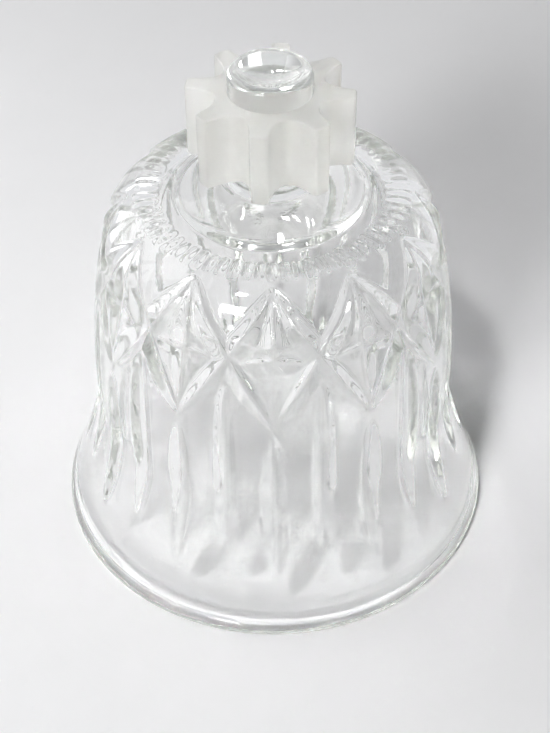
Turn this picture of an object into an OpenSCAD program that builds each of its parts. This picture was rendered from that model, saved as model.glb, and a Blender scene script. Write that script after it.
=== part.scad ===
// Pegged votive candle cup in pressed glass, standing on its flared rim with the peg up,
// and the soft star grommet that grips the peg inside a candlestick's socket.
// The axis is Z, the rim rests on z = 0, and -Y faces the viewer.

/* [Cup] */
// Diameter across the rim
rim_d = 82; // [76:1:90]
// Diameter at the waist, where the flare begins
waist_d = 66.4; // [62:0.2:69]
// Height of the waist above the rim's resting face
waist_h = 26; // [20:1:30]
// Diameter at the foot of the rounded shoulder
shoulder_d = 59.2; // [54:0.2:61]
// Height at the foot of the rounded shoulder
shoulder_h = 62; // [56:1:66]
// Height of the flat ring around the base disc
cup_h = 71; // [70:0.5:76]
// Outer diameter of that flat ring, where the shoulder begins
flat_d = 44; // [42:0.5:48]
// Thickness of the glass wall
wall = 4.2; // [3.6:0.1:5]
// Thickness of the rounded rim
rim_bead = 3.2; // [2.6:0.1:3.4]
// Width of the narrow face that the rim rests on
rim_land = 1.4; // [0.8:0.1:2]
// Thickness of the closed end under the flat ring
base_t = 5; // [4:0.5:6]
// Corner radius inside the closed end
well_corner = 8; // [5:0.5:10]

/* [Base disc and peg] */
// Diameter of the raised disc around the peg
disc_d = 33.4; // [30:0.2:38]
// Height of the disc's edge above the flat ring
disc_step = 0.8; // [0.4:0.1:1.2]
// Height that the disc rises to at the peg, above the flat ring
disc_rise = 3.2; // [2:0.1:4]
// Diameter of the peg
peg_d = 14; // [12:0.1:16]
// Height of the peg above the flat ring
peg_h = 24; // [22:0.5:30]
// Radius of the fillet where the peg meets the disc
peg_fillet = 1.6; // [1:0.1:2.2]
// Rounding of the peg's free end
peg_end_round = 1.2; // [0.6:0.1:1.6]
// Diameter of the hollow in the peg's free end
dimple_d = 10.4; // [6:0.2:10.8]
// Depth of that hollow
dimple_depth = 1.6; // [0.8:0.1:2.4]

/* [Cut pattern] */
// Number of diamonds around the cup
diamonds = 12; // [8:1:14]
// Height of the row of crossings in the middle of the diamonds
crossing_h = 58.5; // [54:0.5:60]
// Height of the diamonds' lower points
diamond_foot_h = 46.4; // [42:0.2:50]
// Depth of the diagonal cuts at their crossings
diagonal_depth = 1.1; // [0.6:0.1:1.6]
// Depth of the upright cuts through the diamonds
upright_depth = 0.9; // [0.5:0.1:1.4]
// Width of the short level cuts across the diamonds
dash_w = 12; // [6:0.5:13]
// Depth of the long flutes on the lower body
flute_depth = 1.3; // [0.6:0.1:1.8]
// Height at the lower ends of the flutes
flute_foot_h = 18; // [12:0.5:22]

/* [Grommet] */
// Number of fins
fins = 8; // [6:1:12]
// Diameter across the fin tips
fin_d = 27.9; // [24:0.1:32]
// Diameter across the valleys between the fins
valley_d = 18.6; // [18:0.1:21]
// Width of a fin at its blunt tip
fin_tip_w = 1.9; // [1.2:0.1:2.6]
// Height of the grommet
grommet_h = 13; // [9:0.5:14]
// Length of peg that stands out beyond the grommet
peg_reach = 3.7; // [2:0.1:5]
// Running clearance between the bore and the peg, on the radius
bore_gap = 0.05; // [0.02:0.01:0.1]
// Turn of the grommet about the peg
fin_turn = -8.2; // [-22.5:0.1:22.5]

/* [Hidden] */
$fn = 96;

// Powers that shape the flare, the barrel and the shoulder
flare_power = 1.28;
barrel_power = 2.6;
shoulder_power = 1.75;
// Bands along each curved stretch of the outline
flare_bands = 5;
barrel_bands = 4;
shoulder_bands = 5;
round_bands = 5;
// Half angles of the cutting edges
diagonal_edge = 50;
upright_edge = 52;
dash_edge = 60;
flute_edge = 58;
// Reach of a cutting edge out of the glass
edge_reach = 4;
// Overrun of a cut beyond its end points
cut_overrun = 3;

rim_r = rim_d / 2;
waist_r = waist_d / 2;
shoulder_r = shoulder_d / 2;
flat_r = flat_d / 2;
bead_r = rim_bead / 2;
// The bead is cut off flat at the land, so its centre lies a little under its radius
bead_z = sqrt(pow(bead_r, 2) - pow(rim_land / 2, 2));
well_h = cup_h - base_t;
peg_top = cup_h + peg_h;
peg_r = peg_d / 2;
disc_top = cup_h + disc_rise;
grommet_z = peg_top - peg_reach - grommet_h;
step = 360 / diamonds;

// Radius of the uncut glass at height z, from the bead to the foot of the shoulder
function flare_r(z) = waist_r + (rim_r - waist_r) * pow((waist_h - z) / (waist_h - bead_z), flare_power);
function barrel_r(z) = waist_r
    - (waist_r - shoulder_r) * pow((z - waist_h) / (shoulder_h - waist_h), barrel_power);
function shoulder_z(r) = shoulder_h + (cup_h - shoulder_h)
    * pow(1 - pow((r - flat_r) / (shoulder_r - flat_r), shoulder_power), 1 / shoulder_power);
function glass_r(z) = z < waist_h ? flare_r(z) : barrel_r(z);

// Wall thickness grows from the bead to the waist
function wall_at(z) = rim_bead + (wall - rim_bead) * min(1, (z - bead_z) / (waist_h - bead_z));
function well_r(z) = glass_r(z) - wall_at(z);

function shoulder_point(a) = [
    flat_r + (shoulder_r - flat_r) * pow(cos(a), 2 / shoulder_power),
    shoulder_h + (cup_h - shoulder_h) * pow(sin(a), 2 / shoulder_power)
];
function arc_point(centre, r, a) = centre + r * [cos(a), sin(a)];
function spot(r, a, z) = [r * sin(a), -r * cos(a), z];

// The bead, from its inner side round the land to its outer side
bead_centre = [rim_r - bead_r, bead_z];
land_angle = asin(bead_z / bead_r);
bead_in = [for (i = [0:round_bands]) arc_point(bead_centre, bead_r, 180 + i * land_angle / round_bands)];
bead_out = [for (i = [0:round_bands]) arc_point(bead_centre, bead_r, -land_angle * (1 - i / round_bands))];
flare = [for (i = [1:flare_bands]) let (z = bead_z + i * (waist_h - bead_z) / flare_bands) [flare_r(z), z]];
barrel = [for (i = [1:barrel_bands]) let (z = waist_h + i * (shoulder_h - waist_h) / barrel_bands)
    [barrel_r(z), z]];
shoulder = [for (i = [1:shoulder_bands]) shoulder_point(i * 90 / shoulder_bands)];

// The raised disc climbs from its step to the peg's fillet
disc_r = disc_d / 2;
disc_edge = [[disc_r, cup_h], [disc_r - disc_step, cup_h + disc_step]];
fillet_r = peg_r + peg_fillet;
fillet = [for (i = [0:round_bands - 1])
    arc_point([fillet_r, disc_top + peg_fillet], peg_fillet, -90 - i * 90 / round_bands)];
peg_side = [[peg_r, disc_top + peg_fillet], [peg_r, peg_top - peg_end_round]];
peg_end = [for (i = [1:round_bands])
    arc_point([peg_r - peg_end_round, peg_top - peg_end_round], peg_end_round, i * 90 / round_bands)];

// The well runs from the closed end down to the bead
corner_z = well_h - well_corner;
corner_r = well_r(corner_z);
well_corner_line = [for (i = [0:round_bands])
    arc_point([corner_r - well_corner, corner_z], well_corner, 90 - i * 90 / round_bands)];
well_barrel = [for (i = [1:barrel_bands])
    let (z = corner_z + i * (waist_h - corner_z) / barrel_bands) [well_r(z), z]];
well_flare = [for (i = [1:flare_bands - 1])
    let (z = waist_h + i * (bead_z - waist_h) / flare_bands) [well_r(z), z]];

module cup_blank() {
    rotate_extrude()
        polygon(concat(
            [[0, well_h]],
            well_corner_line,
            well_barrel,
            well_flare,
            bead_in,
            bead_out,
            flare,
            barrel,
            shoulder,
            disc_edge,
            fillet,
            peg_side,
            peg_end,
            [[0, peg_top]]
        ));
}

// Hollow ground into the peg's free end, part of a ball
module dimple() {
    ball_r = (pow(dimple_d / 2, 2) + pow(dimple_depth, 2)) / (2 * dimple_depth);
    translate([0, 0, peg_top - dimple_depth + ball_r])
        sphere(r = ball_r);
}

// Cut whose floor is the arc through three points. The edge points at the glass, from outside
// it where the arc's centre is inside, and from the centre where the arc bends the other way.
module arc_cut(first, middle, last, half_angle) {
    a = first - last;
    b = middle - last;
    n = cross(a, b);
    centre = last + cross((a * a) * b - (b * b) * a, n) / (2 * n * n);
    r = norm(middle - centre);
    u = (middle - centre) / r;
    w = n / norm(n);
    v = cross(w, u);
    bends_out = u * [middle.x, middle.y, 0] > 0;
    open_r = bends_out ? r + edge_reach : r - edge_reach;
    half_w = edge_reach * tan(half_angle);
    overrun = cut_overrun / r * 180 / PI;
    start = min(atan2((first - centre) * v, (first - centre) * u), atan2((last - centre) * v, (last - centre) * u));
    end = max(atan2((first - centre) * v, (first - centre) * u), atan2((last - centre) * v, (last - centre) * u));
    multmatrix([
        [u.x, v.x, w.x, centre.x],
        [u.y, v.y, w.y, centre.y],
        [u.z, v.z, w.z, centre.z],
        [0, 0, 0, 1]
    ])
        rotate([0, 0, start - overrun])
            rotate_extrude(angle = end - start + 2 * overrun)
                polygon([[r, 0], [open_r, -half_w], [open_r, half_w]]);
}

// Points that the cuts run through, at the angle a about the axis
head_r = flat_r + 2;
function head(a) = spot(head_r, a, shoulder_z(head_r) - diagonal_depth / 2);
function crossing(a, depth) = spot(glass_r(crossing_h) - depth, a, crossing_h);
function foot(a) = spot(glass_r(diamond_foot_h), a, diamond_foot_h);

// Diagonals that lean to one side, +1 or -1
module diagonals(side) {
    for (i = [0:diamonds - 1])
        arc_cut(
            head(i * step),
            crossing((i + side / 2) * step, diagonal_depth),
            foot((i + side) * step),
            diagonal_edge
        );
}

module uprights() {
    for (i = [0:diamonds - 1])
        arc_cut(head(i * step), crossing(i * step, upright_depth), foot(i * step), upright_edge);
}

// Short level cuts, straight and so deepest in the middle of the round surface
module dashes() {
    skin_r = glass_r(crossing_h);
    floor_r = sqrt(pow(skin_r, 2) - pow(dash_w / 2, 2));
    half_w = edge_reach * tan(dash_edge);
    for (i = [0:diamonds - 1])
        rotate([0, 0, i * step - 90])
            translate([floor_r, 0, crossing_h])
                rotate([90, 0, 0])
                    linear_extrude(height = dash_w, center = true)
                        polygon([[0, 0], [edge_reach, -half_w], [edge_reach, half_w]]);
}

// Long flutes, alternately under the crossings and under the diamonds' lower points
module flutes() {
    for (i = [0:2 * diamonds - 1])
        let (
            a = i * step / 2,
            top = i % 2 == 0 ? diamond_foot_h - 2 : crossing_h - 4,
            middle = (top + flute_foot_h) / 2
        )
            arc_cut(
                spot(glass_r(top), a, top),
                spot(glass_r(middle) - flute_depth, a, middle),
                spot(glass_r(flute_foot_h), a, flute_foot_h),
                flute_edge
            );
}

// The families of cuts cross each other, so they are cut one family after the other
module lower_cuts() {
    difference() {
        cup_blank();
        dimple();
        dashes();
        flutes();
    }
}
module leaning_cuts(side) {
    difference() {
        children();
        diagonals(side);
    }
}

module glass_cup() {
    color("gainsboro", 0.5)
        difference() {
            leaning_cuts(-1)
                leaning_cuts(1)
                    lower_cuts();
            uprights();
        }
}

function fin_points(a) =
    let (
        out = [sin(a), -cos(a)],
        along = [cos(a), sin(a)],
        valley = a + 180 / fins
    )
    [
        fin_d / 2 * out - fin_tip_w / 2 * along,
        fin_d / 2 * out + fin_tip_w / 2 * along,
        valley_d / 2 * [sin(valley), -cos(valley)]
    ];

module star_grommet() {
    outline = [for (i = [0:fins - 1]) each fin_points(fin_turn + i * 360 / fins)];
    color("whitesmoke", 0.9)
        translate([0, 0, grommet_z])
            difference() {
                linear_extrude(height = grommet_h)
                    polygon(outline);
                translate([0, 0, -1])
                    cylinder(h = grommet_h + 2, r = peg_r + bore_gap);
            }
}

glass_cup();
star_grommet();
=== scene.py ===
import math
import bpy
import numpy as np
from mathutils import Matrix, Vector


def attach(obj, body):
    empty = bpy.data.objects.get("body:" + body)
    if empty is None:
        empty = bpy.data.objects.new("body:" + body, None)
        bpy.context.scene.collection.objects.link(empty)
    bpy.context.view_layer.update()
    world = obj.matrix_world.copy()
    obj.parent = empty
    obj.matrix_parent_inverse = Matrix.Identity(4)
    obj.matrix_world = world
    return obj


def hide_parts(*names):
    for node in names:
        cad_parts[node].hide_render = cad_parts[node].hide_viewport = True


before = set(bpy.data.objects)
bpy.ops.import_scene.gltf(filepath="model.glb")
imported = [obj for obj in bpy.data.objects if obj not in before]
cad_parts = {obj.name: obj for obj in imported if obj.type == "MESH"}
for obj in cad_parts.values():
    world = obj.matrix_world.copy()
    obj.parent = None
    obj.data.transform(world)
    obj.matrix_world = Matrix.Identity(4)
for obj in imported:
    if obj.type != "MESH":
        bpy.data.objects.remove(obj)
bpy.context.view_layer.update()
mm = 0.001
print("frame loaded")


def hexColor(text, alpha=1.0):  # sRGB hex to linear
    parts = [int(text[i:i + 2], 16) / 255 for i in (1, 3, 5)]
    return tuple(c / 12.92 if c <= 0.04045 else ((c + 0.055) / 1.055) ** 2.4 for c in parts) + (alpha,)


def addNode(tree, kind, settings=None, links=None, **attributes):
    node = tree.nodes.new(kind)
    for key, value in attributes.items():
        setattr(node, key, value)
    for key, value in (settings or {}).items():
        node.inputs[key].default_value = value
    for key, source in (links or {}).items():
        tree.links.new(source, node.inputs[key])
    return node


def addNoise(tree, place, scale, detail, roughness):
    settings = {"Scale": scale, "Detail": detail, "Roughness": roughness}
    return addNode(tree, "ShaderNodeTexNoise", settings, {"Vector": place}).outputs["Fac"]


def newMaterial(name):
    material = bpy.data.materials.new(name)
    material.use_nodes = True
    material.node_tree.nodes.clear()
    return material, material.node_tree


def deselectAll():
    for thing in bpy.context.selected_objects:
        thing.select_set(False)


def finishPiece(piece, name, material, angle=None):
    piece.name = name
    piece.data.name = name
    deselectAll()
    piece.select_set(True)
    bpy.context.view_layer.objects.active = piece
    bpy.ops.object.transform_apply(location=True, rotation=True, scale=True)
    if angle is None:
        bpy.ops.object.shade_smooth()
    else:
        bpy.ops.object.shade_smooth_by_angle(angle=math.radians(angle))
    piece.data.materials.clear()
    piece.data.materials.append(material)
    deselectAll()


def latheLine(points, columns):  # a line of (radius, height) in mm, extruded and spun round the axis
    deselectAll()
    bpy.context.tool_settings.mesh_select_mode = (True, False, False)
    bpy.ops.mesh.primitive_plane_add(size=mm, location=(points[0][0] * mm, 0, points[0][1] * mm))
    shell = bpy.context.object
    bpy.ops.object.mode_set(mode="EDIT")
    bpy.ops.mesh.select_all(action="SELECT")
    bpy.ops.mesh.merge(type="CENTER")
    for before, after in zip(points, points[1:]):
        step = ((after[0] - before[0]) * mm, 0, (after[1] - before[1]) * mm)
        bpy.ops.mesh.extrude_region_move(TRANSFORM_OT_translate={"value": step})
    bpy.ops.mesh.select_all(action="SELECT")
    bpy.ops.mesh.spin(steps=columns, angle=2 * math.pi, center=(0, 0, 0), axis=(0, 0, 1))
    bpy.ops.mesh.select_all(action="SELECT")
    bpy.ops.mesh.remove_doubles(threshold=0.00001)
    bpy.ops.object.mode_set(mode="OBJECT")
    bpy.ops.object.transform_apply(location=True, rotation=True, scale=True)
    return shell


def readPoints(piece):
    flat = np.empty(len(piece.data.vertices) * 3)
    piece.data.vertices.foreach_get("co", flat)
    return flat.reshape(-1, 3) / mm


def writePoints(piece, points):
    piece.data.vertices.foreach_set("co", (points * mm).ravel())
    piece.data.update()


camera = {
    "distance": 0.303703, "elevation": 47.7685, "pan": 0.0528, "tilt": 3.9981, "roll": -0.6838,
    "focalPixels": 1491.84, "imageHeight": 733,
}


def placeCamera(c):
    e, pan, tilt, roll = (math.radians(c[k]) for k in ("elevation", "pan", "tilt", "roll"))
    place = Vector((0, -math.cos(e), math.sin(e))) * c["distance"]
    ahead = -place.normalized()
    right = Vector((1, 0, 0))
    up = right.cross(ahead)
    ahead, right = ahead * math.cos(pan) + right * math.sin(pan), right * math.cos(pan) - ahead * math.sin(pan)
    ahead, up = ahead * math.cos(tilt) + up * math.sin(tilt), up * math.cos(tilt) - ahead * math.sin(tilt)
    right, up = right * math.cos(roll) + up * math.sin(roll), up * math.cos(roll) - right * math.sin(roll)
    data = bpy.data.cameras.new("camera")
    data.sensor_fit = "AUTO"
    data.sensor_width = 36
    data.lens = c["focalPixels"] * 36 / c["imageHeight"]
    data.clip_start = 0.01
    thing = bpy.data.objects.new("camera", data)
    thing.matrix_world = Matrix((
        (right.x, up.x, -ahead.x, place.x),
        (right.y, up.y, -ahead.y, place.y),
        (right.z, up.z, -ahead.z, place.z),
        (0, 0, 0, 1),
    ))
    bpy.context.scene.collection.objects.link(thing)
    bpy.context.scene.camera = thing


placeCamera(camera)
print("camera placed")

# The cup's outline, in millimetres, as in the CAD
cup = {
    "rimR": 41, "waistR": 33.2, "waistZ": 26, "shoulderR": 29.6, "shoulderZ": 62, "topZ": 71, "flatR": 22,
    "flarePower": 1.28, "barrelPower": 2.6, "shoulderPower": 1.75,
    "beadR": 1.6, "landHalf": 0.7, "neckZ": 3.3, "neckHalf": 0.8, "outerNeck": 0.22, "innerNeck": 0.12,
    "wall": 4.2, "rimWall": 3.2, "wellZ": 66, "wellCorner": 8,
    "discR": 16.7, "discStep": 0.8, "discTop": 74.2, "pegR": 7, "pegTop": 95, "filletR": 1.6,
    "endRound": 1.4, "dimpleR": 5.5, "dimpleDepth": 2.1,
    "columns": 576, "smoothColumns": 192, "sideSteps": 900, "shoulderSteps": 300,
}
# The cuts: where they run, how deep they are and how wide they open
cuts = {
    "repeats": 12, "headR": 24.6, "crossingZ": 58.5, "footZ": 45.6, "rowsPerBand": 24,
    "diagonal": {"depth": 1.42, "halfAngle": 55.5, "round": 0.14, "power": 0.6},
    "upright": {"depth": 1.1, "halfAngle": 56.5, "round": 0.14, "power": 0.65, "endZ": 48.2},
    "dash": {"depth": 1.08, "halfAngle": 55, "round": 0.14, "halfLength": 5.9},
    "crossingFlute": {"depth": 1.5, "halfAngle": 49, "round": 0.9, "power": 0.62, "topZ": 54.6, "endZ": 16},
    "footFlute": {"depth": 1.45, "halfAngle": 49, "round": 0.9, "power": 0.65, "topZ": 43.6, "endZ": 12},
    "edgeRound": 0.28,
    "ribs": 66, "ribHeight": 0.24, "ribInner": 19.3, "ribOuter": 23.8,
}


def beadZ(c):
    return math.sqrt(c["beadR"] ** 2 - c["landHalf"] ** 2)


def neck(c, z):  # a faint hollow above the bead, which lets the bead stand out
    return math.exp(-((z - c["neckZ"]) / c["neckHalf"]) ** 2) * min(1, max(0, (z - beadZ(c)) / 1.2))


def sideR(c, z):
    if z < c["waistZ"]:
        share = (c["waistZ"] - z) / (c["waistZ"] - beadZ(c))
        flare = (c["rimR"] - c["waistR"]) * share ** c["flarePower"]
        return c["waistR"] + flare - c["outerNeck"] * neck(c, z)
    share = (z - c["waistZ"]) / (c["shoulderZ"] - c["waistZ"])
    return c["waistR"] - (c["waistR"] - c["shoulderR"]) * share ** c["barrelPower"]


def wellR(c, z):
    share = min(1, (z - beadZ(c)) / (c["waistZ"] - beadZ(c)))
    wall = c["rimWall"] + (c["wall"] - c["rimWall"]) * share
    return sideR(c, z) - wall + (c["outerNeck"] + c["innerNeck"]) * neck(c, z)


def outerLine(c):  # fine line from the bead's outermost point up over the shoulder to the base disc
    line = [(sideR(c, z), z) for z in np.linspace(beadZ(c), c["shoulderZ"], c["sideSteps"])]
    for angle in np.linspace(0, math.pi / 2, c["shoulderSteps"])[1:]:
        line.append((
            c["flatR"] + (c["shoulderR"] - c["flatR"]) * max(0, math.cos(angle)) ** (2 / c["shoulderPower"]),
            c["shoulderZ"] + (c["topZ"] - c["shoulderZ"]) * math.sin(angle) ** (2 / c["shoulderPower"]),
        ))
    line += [(r, c["topZ"]) for r in np.linspace(c["flatR"], c["discR"], 60)[1:]]
    return np.array(line)


def arc(centre, radius, start, end, steps):
    angles = np.radians(np.linspace(start, end, steps + 1))
    return [(centre[0] + radius * math.cos(t), centre[1] + radius * math.sin(t)) for t in angles]


fine = outerLine(cup)
along = np.concatenate([[0], np.cumsum(np.hypot(*np.diff(fine, axis=0).T))])
rising = slice(0, cup["sideSteps"] + cup["shoulderSteps"] - 1)  # from the bead to the top of the shoulder
inward = slice(cup["sideSteps"] - 1, None)  # from the foot of the shoulder to the disc


def lengthAtZ(z):
    return float(np.interp(z, fine[rising, 1], along[rising]))


def lengthAtR(r):  # on the shoulder and the flat ring
    return float(np.interp(-r, -fine[inward, 0], along[inward]))


def pointAt(length):
    return np.stack([np.interp(length, along, fine[:, 0]), np.interp(length, along, fine[:, 1])], axis=-1)


head = lengthAtR(cuts["headR"])
crossing = lengthAtZ(cuts["crossingZ"])
foot = lengthAtZ(cuts["footZ"])
ribStart = lengthAtR(cuts["ribOuter"])
ribEnd = lengthAtR(cuts["ribInner"])
band = cuts["rowsPerBand"]
rows = np.concatenate([
    np.linspace(0, lengthAtZ(12), 16)[:-1],
    np.linspace(lengthAtZ(12), foot, 44)[:-1],
    np.linspace(foot, crossing, band + 1)[:-1],
    np.linspace(crossing, head, band + 1)[:-1],
    np.linspace(head, ribStart, 4)[:-1],
    np.linspace(ribStart, ribEnd, 13)[:-1],
    np.linspace(ribEnd, along[-1], 6),
])


def smoothMax(a, b, width):
    near = np.maximum(width - np.abs(a - b), 0)
    return np.maximum(a, b) + near ** 2 / (4 * width)


def nearest(angle, offset, period):  # signed angle to the nearest repeat, in radians
    return (angle - offset + period / 2) % period - period / 2


def lens(share, power):
    inside = np.clip(4 * share * (1 - share), 0, None)
    return np.where((share > 0) & (share < 1), inside ** power, -1)


def groove(spec, floor, sideways):
    rise = np.hypot(sideways, spec["round"]) - spec["round"]
    return spec["depth"] * floor - rise / math.tan(math.radians(spec["halfAngle"]))


def cutDepth(length, angle):
    radius = pointAt(length)[..., 0]
    step = 2 * math.pi / cuts["repeats"]
    upper = (head - length) / (head - crossing) / 2
    lower = 0.5 + (crossing - length) / (crossing - foot) / 2
    share = np.where(length > crossing, upper, lower)
    slope = np.where(length > crossing, step / 2 / (head - crossing), step / 2 / (crossing - foot))
    squeeze = 1 / np.sqrt(1 + (radius * slope) ** 2)
    depth = np.zeros_like(length)
    spec = cuts["diagonal"]
    for side in (1, -1):
        sideways = radius * nearest(angle - side * share * step, 0, step) * squeeze
        depth = smoothMax(depth, groove(spec, lens(share, spec["power"]), sideways), cuts["edgeRound"])
    spec = cuts["upright"]
    sideways = radius * nearest(angle, 0, step)
    floor = lens((head - length) / (head - lengthAtZ(spec["endZ"])), spec["power"])
    depth = smoothMax(depth, groove(spec, floor, sideways), cuts["edgeRound"])
    spec = cuts["dash"]
    level = 1 - (sideways / spec["halfLength"]) ** 2
    depth = smoothMax(depth, groove(spec, level, length - crossing), cuts["edgeRound"])
    for name, offset in (("crossingFlute", step / 2), ("footFlute", 0)):
        spec = cuts[name]
        top, end = lengthAtZ(spec["topZ"]), lengthAtZ(spec["endZ"])
        sideways = radius * nearest(angle, offset, step)
        floor = lens((top - length) / (top - end), spec["power"])
        depth = smoothMax(depth, groove(spec, floor, sideways), cuts["edgeRound"])
    return depth


def ribLift(length, angle):
    share = np.clip((length - ribStart) / (ribEnd - ribStart), 0, 1)
    fade = np.sin(math.pi * share) ** 0.5
    wear = 0.7 + 0.3 * np.sin(5 * angle + 1) * np.sin(17 * angle + 3 * share)  # pressed unevenly
    return cuts["ribHeight"] * fade * wear * (0.5 + 0.5 * np.cos(cuts["ribs"] * angle))


def selectFaces(piece, test):
    bpy.ops.object.mode_set(mode="OBJECT")
    mesh = piece.data
    for group in (mesh.vertices, mesh.edges):
        group.foreach_set("select", np.zeros(len(group), bool))
    mesh.polygons.foreach_set("select", test)
    bpy.ops.object.mode_set(mode="EDIT")
    bpy.context.tool_settings.mesh_select_mode = (False, False, True)


def bridgeOpenLoops(piece, low):  # the two open loops near the rim, or the two at the foot of the disc
    bpy.ops.mesh.select_all(action="DESELECT")
    bpy.ops.mesh.select_non_manifold()
    bpy.ops.object.mode_set(mode="OBJECT")
    for vertex in piece.data.vertices:
        vertex.select = vertex.select and (vertex.co.z < 30 * mm) == low
    for edge in piece.data.edges:
        edge.select = edge.select and all(piece.data.vertices[i].select for i in edge.vertices)
    bpy.ops.object.mode_set(mode="EDIT")
    bpy.ops.mesh.bridge_edge_loops()


def buildCup():
    c = cup
    outer = latheLine([tuple(p) for p in pointAt(rows)], c["columns"])
    points = readPoints(outer)
    flatLine = pointAt(rows)
    angle = np.arctan2(points[:, 0], -points[:, 1])
    radius = np.hypot(points[:, 0], points[:, 1])
    which = np.argmin((radius[:, None] - flatLine[:, 0]) ** 2 + (points[:, 2:] - flatLine[:, 1]) ** 2, axis=1)
    length = rows[which]
    ahead, behind = pointAt(length + 0.05), pointAt(length - 0.05)
    run = ahead - behind
    run /= np.linalg.norm(run, axis=1)[:, None]
    normalR, normalZ = run[:, 1], -run[:, 0]
    depth = cutDepth(length, angle) - ribLift(length, angle)
    newR = radius - depth * normalR
    newZ = points[:, 2] - depth * normalZ
    moved = np.stack([newR * np.sin(angle), -newR * np.cos(angle), newZ], axis=1)
    writePoints(outer, moved)

    # Faces are split along the floor of the cut that crosses them
    mesh = outer.data
    corners = np.empty(len(mesh.polygons) * 4, int)
    mesh.polygons.foreach_get("vertices", corners)
    corners = corners.reshape(-1, 4)
    lengths, angles = length[corners], angle[corners]
    base = angles[:, :1]
    angles = base + nearest(angles, base, 2 * math.pi)
    middle = cutDepth(lengths.mean(1), angles.mean(1))
    depths = depth[corners]
    first = np.abs((depths[:, 0] + depths[:, 2]) / 2 - middle)
    second = np.abs((depths[:, 1] + depths[:, 3]) / 2 - middle)
    selectFaces(outer, first <= second)
    bpy.ops.mesh.quads_convert_to_tris(quad_method="FIXED", ngon_method="BEAUTY")
    bpy.ops.mesh.select_all(action="SELECT")
    bpy.ops.mesh.quads_convert_to_tris(quad_method="FIXED_ALTERNATE", ngon_method="BEAUTY")
    bpy.ops.object.mode_set(mode="OBJECT")

    ball = (c["dimpleR"] ** 2 + c["dimpleDepth"] ** 2) / (2 * c["dimpleDepth"])
    ballZ = c["pegTop"] - c["dimpleDepth"] + ball
    spread = math.degrees(math.asin(c["dimpleR"] / ball))
    discFoot = (c["discR"], c["topZ"])
    lip = (c["discR"] - c["discStep"], c["topZ"] + c["discStep"])
    filletFoot = (c["pegR"] + c["filletR"], c["discTop"])
    top = [(discFoot[0] - 0.25, discFoot[1] + 0.18), (lip[0] + 0.2, lip[1] - 0.25)]
    top.append((lip[0] - 0.05, lip[1] - 0.05))
    for share in np.linspace(0.05, 0.97, 8):  # the slightly domed disc
        top.append(tuple(a + (b - a) * share for a, b in zip(lip, filletFoot)))
    top += arc((filletFoot[0], c["discTop"] + c["filletR"]), c["filletR"], 270, 180, 8)
    shank = np.linspace(c["discTop"] + c["filletR"], c["pegTop"] - c["endRound"], 6)
    top += [(c["pegR"], z) for z in shank[1:]]
    top += arc((c["pegR"] - c["endRound"], c["pegTop"] - c["endRound"]), c["endRound"], 0, 90, 8)[1:]
    top += arc((0, ballZ), ball, 270 + spread, 270, 12)[:-1] + [(0, c["pegTop"] - c["dimpleDepth"])]
    crown = latheLine(top, c["smoothColumns"])

    cornerZ = c["wellZ"] - c["wellCorner"]
    cornerR = wellR(c, cornerZ)
    beadCentre = (c["rimR"] - c["beadR"], beadZ(c))
    landAngle = math.degrees(math.asin(beadZ(c) / c["beadR"]))
    well = [(r, c["wellZ"]) for r in np.linspace(0, cornerR - c["wellCorner"], 10)]
    well += arc((cornerR - c["wellCorner"], cornerZ), c["wellCorner"], 90, 0, 12)[1:]
    well += [(wellR(c, z), z) for z in np.linspace(cornerZ, c["waistZ"], 14)[1:]]
    well += [(wellR(c, z), z) for z in np.linspace(c["waistZ"], 8, 10)[1:]]
    well += [(wellR(c, z), z) for z in np.linspace(8, beadZ(c), 14)[1:-1]]
    well += arc(beadCentre, c["beadR"], 180, 180 + landAngle, 8)
    inside = latheLine(well, c["smoothColumns"])
    rim = latheLine(arc(beadCentre, c["beadR"], -landAngle, 0, 8), c["columns"])

    deselectAll()
    for part in (outer, crown, inside, rim):
        part.select_set(True)
    bpy.context.view_layer.objects.active = outer
    bpy.ops.object.join()
    glass = bpy.context.object
    bpy.ops.object.mode_set(mode="EDIT")
    bpy.context.tool_settings.mesh_select_mode = (True, False, False)
    bpy.ops.mesh.select_all(action="SELECT")
    bpy.ops.mesh.remove_doubles(threshold=0.00002)
    for isRim in (True, False):
        bridgeOpenLoops(glass, isRim)
    bpy.ops.mesh.select_all(action="SELECT")
    bpy.ops.mesh.normals_make_consistent(inside=False)
    bpy.ops.object.mode_set(mode="OBJECT")
    return glass


def pressedGlass():  # clear, bright, fire-polished soda-lime glass, olive grey only in thick places
    material, tree = newMaterial("pressed soda-lime glass, fire-polished")
    place = addNode(tree, "ShaderNodeTexCoord").outputs["Object"]
    ripple = addNoise(tree, place, 260, 1.5, 0.4)
    chill = addNoise(tree, place, 1400, 2, 0.5)
    bumps = addNode(tree, "ShaderNodeMix", {"Factor": 0.25}, {"A": ripple, "B": chill}).outputs[0]
    skin = addNode(tree, "ShaderNodeBump", {"Strength": 0.35, "Distance": 0.00004}, {"Height": bumps})
    polish = addNode(tree, "ShaderNodeMapRange", {
        "From Min": 0.4, "From Max": 0.7, "To Min": 0.0, "To Max": 0.02}, {"Value": chill})
    body = addNode(tree, "ShaderNodeBsdfPrincipled", {
        "Base Color": (1, 1, 1, 1), "Transmission Weight": 1, "IOR": 1.52,
    }, {"Roughness": polish.outputs[0], "Normal": skin.outputs["Normal"]})
    tint = addNode(tree, "ShaderNodeVolumeAbsorption", {"Color": hexColor("#CED4C8"), "Density": 7})
    addNode(tree, "ShaderNodeOutputMaterial", None, {"Surface": body.outputs[0], "Volume": tint.outputs[0]})
    return material


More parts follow.
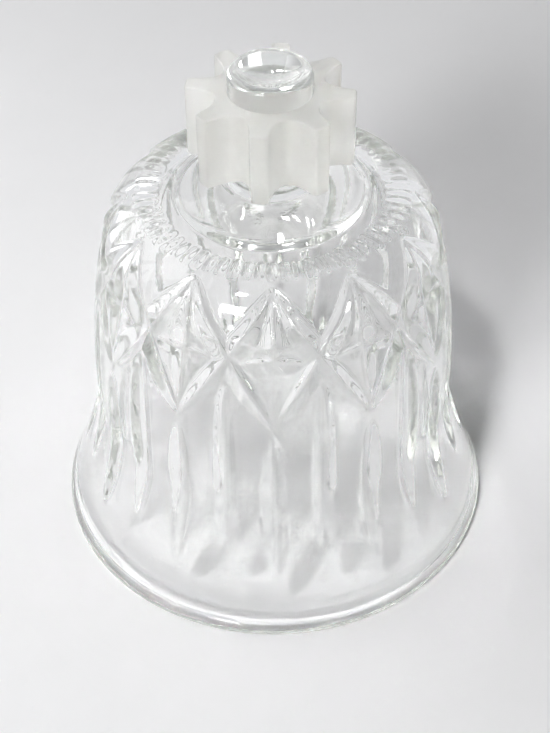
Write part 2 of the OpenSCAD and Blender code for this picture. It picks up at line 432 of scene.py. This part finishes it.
def frostedVinyl():  # soft PVC, injection moulded in a sanded mould: milky, satin, lets light through
    material, tree = newMaterial("soft frosted vinyl, moulded")
    place = addNode(tree, "ShaderNodeTexCoord").outputs["Object"]
    cloud = addNoise(tree, place, 220, 3, 0.5)
    grain = addNoise(tree, place, 2600, 2, 0.6)
    tone = addNode(tree, "ShaderNodeValToRGB", None, {"Fac": cloud})
    tone.color_ramp.elements[0].position, tone.color_ramp.elements[0].color = 0.3, hexColor("#F6F5F2")
    tone.color_ramp.elements[1].position, tone.color_ramp.elements[1].color = 0.7, hexColor("#FDFDFB")
    skin = addNode(tree, "ShaderNodeBump", {"Strength": 0.4, "Distance": 0.00003}, {"Height": grain})
    satin = addNode(tree, "ShaderNodeMapRange", {
        "From Min": 0.3, "From Max": 0.7, "To Min": 0.42, "To Max": 0.52}, {"Value": cloud})
    body = addNode(tree, "ShaderNodeBsdfPrincipled", {"Transmission Weight": 0.82, "IOR": 1.24}, {
        "Base Color": tone.outputs["Color"], "Roughness": satin.outputs[0], "Normal": skin.outputs["Normal"]})
    straight = addNode(tree, "ShaderNodeBsdfTransparent", {"Color": hexColor("#F8F8F5")})  # light that isn't bent
    milky = addNode(tree, "ShaderNodeMixShader", {0: 0.15}, {1: body.outputs[0], 2: straight.outputs[0]})
    addNode(tree, "ShaderNodeOutputMaterial", None, {"Surface": milky.outputs[0]})
    return material


glass = buildCup()
finishPiece(glass, "pressed_cup", pressedGlass())
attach(glass, "glass")
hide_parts("glass_cup")
print("cup built,", len(glass.data.polygons), "faces")

star = {
    "fins": 8, "tipR": 13.95, "tipHalf": 1.45, "cornerRound": 0.45, "valleyR": 9.25, "pull": 1.8,
    "boreR": 7.05, "bottomZ": 78.3, "height": 13, "turn": -8.2, "stepsPerFin": 24, "layers": 8, "edgeRound": 0.3,
}


def finLine(s):  # half of a fin, from its middle to the valley: (sideways, outward) in mm
    corner = Vector((s["tipHalf"], s["tipR"] - 0.1))
    halfPitch = math.pi / s["fins"]
    valley = Vector((math.sin(halfPitch), math.cos(halfPitch))) * s["valleyR"]
    pull = valley + Vector((-math.cos(halfPitch), math.sin(halfPitch))) * s["pull"]
    r = s["cornerRound"]
    line = [Vector((0, s["tipR"])), Vector((corner.x - r, s["tipR"] - 0.03)),
            Vector((corner.x - r * 0.3, corner.y - r * 0.25)), Vector((corner.x, corner.y - r))]
    start = line[-1]
    steps = s["stepsPerFin"] // 2 - 3
    for i in range(1, steps + 1):
        t = i / steps
        line.append(start * (1 - t) ** 2 + pull * 2 * t * (1 - t) + valley * t ** 2)
    return line


def buildStar():
    s = star
    half = finLine(s)
    fin = [(-p.x, p.y) for p in reversed(half[1:-1])] + [(p.x, p.y) for p in half]
    count = s["fins"] * len(fin)
    deselectAll()
    low, high = s["bottomZ"] * mm, (s["bottomZ"] + s["height"]) * mm
    bpy.ops.mesh.primitive_circle_add(vertices=count, radius=s["tipR"] * mm, location=(0, 0, low))
    piece = bpy.context.object
    bpy.ops.object.mode_set(mode="EDIT")
    bpy.ops.mesh.primitive_circle_add(vertices=count, radius=s["boreR"] * mm, location=(0, 0, low))
    bpy.ops.object.mode_set(mode="OBJECT")
    bpy.ops.object.transform_apply(location=True, rotation=True, scale=True)
    points = readPoints(piece)
    outside = [i for i in range(len(points)) if math.hypot(points[i][0], points[i][1]) > s["tipR"] - 0.5]
    inside = [i for i in range(len(points)) if i not in set(outside)]
    for ring, isOuter in ((outside, True), (inside, False)):
        ring.sort(key=lambda i: math.atan2(points[i][1], points[i][0]))
        for k, i in enumerate(ring):
            turn = math.radians(s["turn"]) + (k // len(fin)) * 2 * math.pi / s["fins"]
            x, y = fin[k % len(fin)]
            angle = math.atan2(x, y) + turn
            r = math.hypot(x, y) if isOuter else s["boreR"]
            points[i][:2] = (r * math.sin(angle), -r * math.cos(angle))
    writePoints(piece, points)
    bpy.ops.object.mode_set(mode="EDIT")
    bpy.ops.mesh.select_all(action="SELECT")
    bpy.ops.mesh.bridge_edge_loops()
    for _ in range(s["layers"]):
        bpy.ops.mesh.extrude_region_move(TRANSFORM_OT_translate={"value": (0, 0, (high - low) / s["layers"])})
    bpy.ops.mesh.select_all(action="SELECT")
    bpy.ops.mesh.normals_make_consistent(inside=False)
    bpy.ops.object.mode_set(mode="OBJECT")
    mesh = piece.data
    wanted = np.zeros(len(mesh.edges), bool)
    for edge in mesh.edges:
        a, b = (mesh.vertices[i].co for i in edge.vertices)
        level = abs(a.z - b.z) < 1e-6 and (abs(a.z - low) < 1e-6 or abs(a.z - high) < 1e-6)
        sideA, sideB = (math.hypot(v.x, v.y) < (s["boreR"] + 0.5) * mm for v in (a, b))
        wanted[edge.index] = level and sideA == sideB
    for group in (mesh.vertices, mesh.polygons):
        group.foreach_set("select", np.zeros(len(group), bool))
    mesh.edges.foreach_set("select", wanted)
    bpy.context.tool_settings.mesh_select_mode = (False, True, False)
    bpy.ops.object.mode_set(mode="EDIT")
    bpy.ops.mesh.bevel(offset=s["edgeRound"] * mm, segments=3, affect="EDGES", clamp_overlap=True)
    bpy.ops.mesh.select_all(action="SELECT")
    bpy.ops.mesh.remove_doubles(threshold=0.000005)
    bpy.ops.mesh.normals_make_consistent(inside=False)
    bpy.ops.object.mode_set(mode="OBJECT")
    return piece


grommet = buildStar()
finishPiece(grommet, "star_sleeve", frostedVinyl(), 50)
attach(grommet, "grommet")
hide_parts("star_grommet")
print("grommet built,", len(grommet.data.polygons), "faces")

stage = {
    "floorSize": 6, "worldColor": "#F5F6F9", "lightStrength": 0.05, "seenStrength": 0.85, "viewerSide": 0.5,
}
# A low window throws the long shadow, a small high lamp the bright marks inside, a soft box lifts the left
lamps = [
    {"name": "window", "from": (-117, 31.5), "distance": 1.5, "size": 0.36, "power": 13.5},
    {"name": "high lamp", "from": (-119, 60), "distance": 1.1, "size": 0.08, "power": 3.9},
    {"name": "soft box", "from": (162, 42), "distance": 0.33, "size": 0.3, "power": 0.4},
]


def paleFloor():  # matte white paper, which stays pale where the lamps no longer reach it
    material, tree = newMaterial("matte white paper")
    place = addNode(tree, "ShaderNodeTexCoord").outputs["Object"]
    tone = addNode(tree, "ShaderNodeValToRGB", None, {"Fac": addNoise(tree, place, 60, 3, 0.5)})
    tone.color_ramp.elements[0].color = hexColor("#F0F0F1")
    tone.color_ramp.elements[1].color = hexColor("#F3F3F4")
    body = addNode(tree, "ShaderNodeBsdfPrincipled", {"Roughness": 0.9, "Specular IOR Level": 0.1},
                   {"Base Color": tone.outputs["Color"]})
    reach = addNode(tree, "ShaderNodeVectorMath", None, {0: place}, operation="LENGTH").outputs["Value"]
    far = addNode(tree, "ShaderNodeMapRange", {"From Min": 0.15, "From Max": 0.6}, {"Value": reach})
    bounce = addNode(tree, "ShaderNodeLightPath").outputs["Diffuse Depth"]
    seen = addNode(tree, "ShaderNodeMath", {0: 1.0}, {1: bounce}, operation="SUBTRACT", use_clamp=True)
    share = addNode(tree, "ShaderNodeMath", None, {0: far.outputs[0], 1: seen.outputs[0]}, operation="MULTIPLY")
    away = addNode(tree, "ShaderNodeEmission", {
        "Strength": stage["seenStrength"]}, {"Color": tone.outputs["Color"]})
    sheet = addNode(tree, "ShaderNodeMixShader", None, {
        0: share.outputs[0], 1: body.outputs[0], 2: away.outputs[0]})
    addNode(tree, "ShaderNodeOutputMaterial", None, {"Surface": sheet.outputs[0]})
    return material


def buildStage():
    deselectAll()
    bpy.ops.mesh.primitive_plane_add(size=stage["floorSize"], location=(0, 0, -0.0001))
    floor = bpy.context.object
    floor.name = "floor"
    floor.data.materials.append(paleFloor())
    world = bpy.data.worlds.new("soft studio")
    bpy.context.scene.world = world
    world.use_nodes = True
    world.node_tree.nodes.clear()
    tree = world.node_tree
    path = addNode(tree, "ShaderNodeLightPath").outputs  # glass and gloss show a pale room
    strength = addNode(tree, "ShaderNodeMapRange", {
        "To Min": stage["seenStrength"], "To Max": stage["lightStrength"]}, {"Value": path["Diffuse Depth"]})
    direction = addNode(tree, "ShaderNodeTexCoord").outputs["Generated"]
    ahead = addNode(tree, "ShaderNodeSeparateXYZ", None, {0: direction}).outputs["Y"]
    side = addNode(tree, "ShaderNodeMapRange", {
        "From Min": -0.75, "From Max": 0.1, "To Min": stage["viewerSide"], "To Max": 1}, {"Value": ahead})
    plain = addNode(tree, "ShaderNodeMath", None, {
        0: side.outputs[0], 1: path["Is Camera Ray"]}, operation="MAXIMUM")  # the camera sees one pale tone
    level = addNode(tree, "ShaderNodeMath", None, {
        0: strength.outputs[0], 1: plain.outputs[0]}, operation="MULTIPLY")
    sky = addNode(tree, "ShaderNodeBackground", {
        "Color": hexColor(stage["worldColor"])}, {"Strength": level.outputs[0]})
    addNode(tree, "ShaderNodeOutputWorld", None, {"Surface": sky.outputs[0]})
    for lamp in lamps:
        data = bpy.data.lights.new(lamp["name"], "AREA")
        data.size = lamp["size"]
        data.energy = lamp["power"]
        thing = bpy.data.objects.new(lamp["name"], data)
        turn, rise = (math.radians(v) for v in lamp["from"])
        place = Vector((math.cos(rise) * math.cos(turn), math.cos(rise) * math.sin(turn), math.sin(rise)))
        place *= lamp["distance"]
        aim = (Vector((0, 0, 0.04)) - place).to_track_quat("-Z", "Y")
        thing.matrix_world = Matrix.Translation(place) @ aim.to_matrix().to_4x4()
        bpy.context.scene.collection.objects.link(thing)


buildStage()
view = bpy.context.scene.view_settings
view.view_transform = "Standard"
paths = bpy.context.scene.cycles
paths.max_bounces, paths.transmission_bounces, paths.glossy_bounces = 64, 64, 32  # many glass faces in a row
paths.blur_glossy, paths.sample_clamp_indirect = 0, 0  # the light thrown on the paper stays whole
paths.use_guiding = True
print("stage and lamps set")
